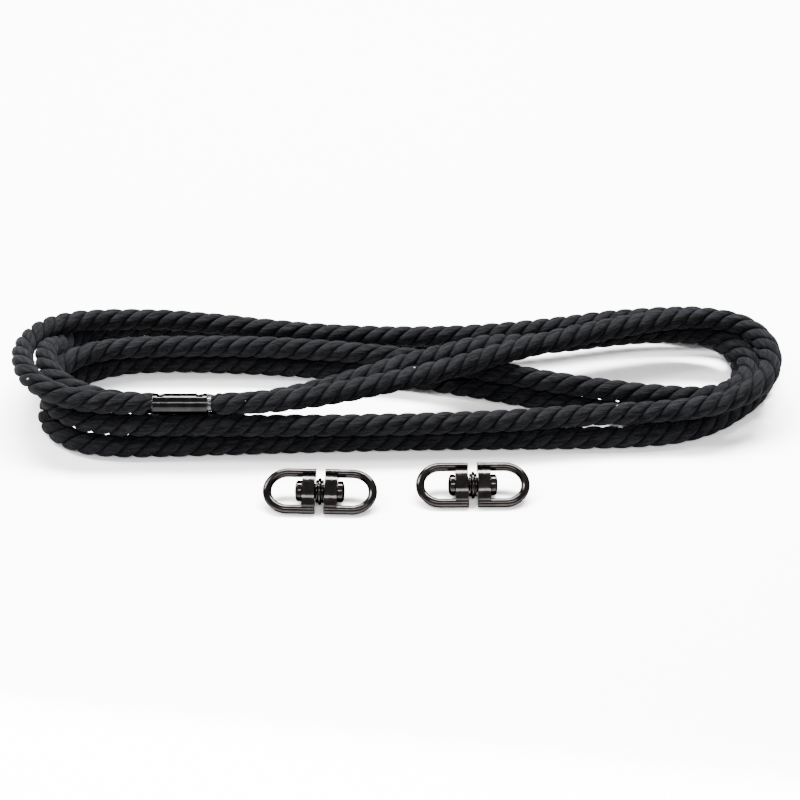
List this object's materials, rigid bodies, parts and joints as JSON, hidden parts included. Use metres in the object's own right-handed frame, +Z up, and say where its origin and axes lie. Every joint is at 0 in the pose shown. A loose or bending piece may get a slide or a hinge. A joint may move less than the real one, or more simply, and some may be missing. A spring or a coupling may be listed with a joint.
{
  "type": "rope sling with swivels",
  "caption": "Closed loop of thick twisted rope, joined by a crimped metal ferrule and folded into a loose hank, with double-eye metal swivels to hang it from",
  "frame": {"origin": "on the surface that the set lies on, under the middle of the hank and its swivels", "axes": "+X runs along the hank, from its ferrule's end to the other; +Y points from the swivels to the hank; +Z is up"},
  "size_m": [0.3722, 0.1483, 0.034],
  "materials": {
    "rope": "matte",
    "ferrule_metal": "polished",
    "clear_tape": "gloss",
    "swivel_metal": "polished"
  },
  "bodies": {
    "rope": {"rope_turn_1": "rope", "rope_turn_2": "rope", "rope_turn_3": "rope", "rope_turn_4": "rope", "ferrule": "ferrule_metal", "end_tape_left": "clear_tape", "end_tape_right": "clear_tape"},
    "swivel_1": {"swivel_1_pin": "swivel_metal", "swivel_1_collar": "swivel_metal", "swivel_1_washer_left": "swivel_metal", "swivel_1_washer_right": "swivel_metal"},
    "swivel_1_eye_left": {"swivel_1_eye_left": "swivel_metal"},
    "swivel_1_eye_right": {"swivel_1_eye_right": "swivel_metal"},
    "swivel_2": {"swivel_2_pin": "swivel_metal", "swivel_2_collar": "swivel_metal", "swivel_2_washer_left": "swivel_metal", "swivel_2_washer_right": "swivel_metal"},
    "swivel_2_eye_left": {"swivel_2_eye_left": "swivel_metal"},
    "swivel_2_eye_right": {"swivel_2_eye_right": "swivel_metal"}
  },
  "joints": [
    {"name": "swivel_1_lift", "type": "slide", "parent": "rope", "child": "swivel_1", "axis": [0, 0, 1], "range_m": [0, 0.06]},
    {"name": "swivel_1_eye_left_turn", "type": "hinge", "parent": "swivel_1", "child": "swivel_1_eye_left", "pos_m": [-0.0361, -0.0637, 0.0061], "axis": [0.9996, -0.0297, 0], "continuous": true},
    {"name": "swivel_1_eye_right_turn", "type": "hinge", "parent": "swivel_1", "child": "swivel_1_eye_right", "pos_m": [-0.0361, -0.0637, 0.0061], "axis": [0.9996, -0.0297, 0], "continuous": true},
    {"name": "swivel_2_lift", "type": "slide", "parent": "rope", "child": "swivel_2", "axis": [0, 0, 1], "range_m": [0, 0.06]},
    {"name": "swivel_2_eye_left_turn", "type": "hinge", "parent": "swivel_2", "child": "swivel_2_eye_left", "pos_m": [0.033, -0.0591, 0.0061], "axis": [0.9999, 0.0105, 0], "continuous": true},
    {"name": "swivel_2_eye_right_turn", "type": "hinge", "parent": "swivel_2", "child": "swivel_2_eye_right", "pos_m": [0.033, -0.0591, 0.0061], "axis": [0.9999, 0.0105, 0], "continuous": true}
  ]
}
